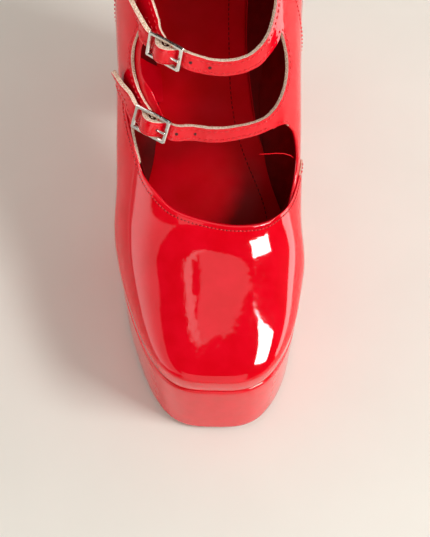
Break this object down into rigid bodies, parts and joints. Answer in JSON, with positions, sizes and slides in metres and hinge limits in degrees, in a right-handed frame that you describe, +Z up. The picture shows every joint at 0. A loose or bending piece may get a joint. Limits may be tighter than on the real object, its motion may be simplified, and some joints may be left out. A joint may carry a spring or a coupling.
{
  "type": "ankle boot",
  "caption": "Right-foot platform ankle boot in patent leather, with a square toe, a tall block heel and two buckled straps over a cut-out instep.",
  "frame": {"origin": "centre of the bounding box, on the floor under the boot", "axes": "+Z up, toe towards -Y, inner (big-toe) side towards +X"},
  "size_m": [0.0874, 0.2353, 0.1972],
  "materials": {
    "red_patent": "bright red patent, mirror gloss",
    "red_lining": "matt red lining leather",
    "dark_rubber": "matt dark red-brown rubber",
    "silver_metal": "polished nickel"
  },
  "bodies": {
    "root": {"upper": "red_patent", "strap_front": "red_patent", "strap_rear": "red_patent", "platform": "red_patent", "heel_block": "red_patent", "insole": "red_lining", "outsole": "dark_rubber", "heel_tip": "dark_rubber", "buckle_front": "silver_metal", "buckle_rear": "silver_metal", "prong_front": "silver_metal", "prong_rear": "silver_metal"}
  },
  "joints": []
}
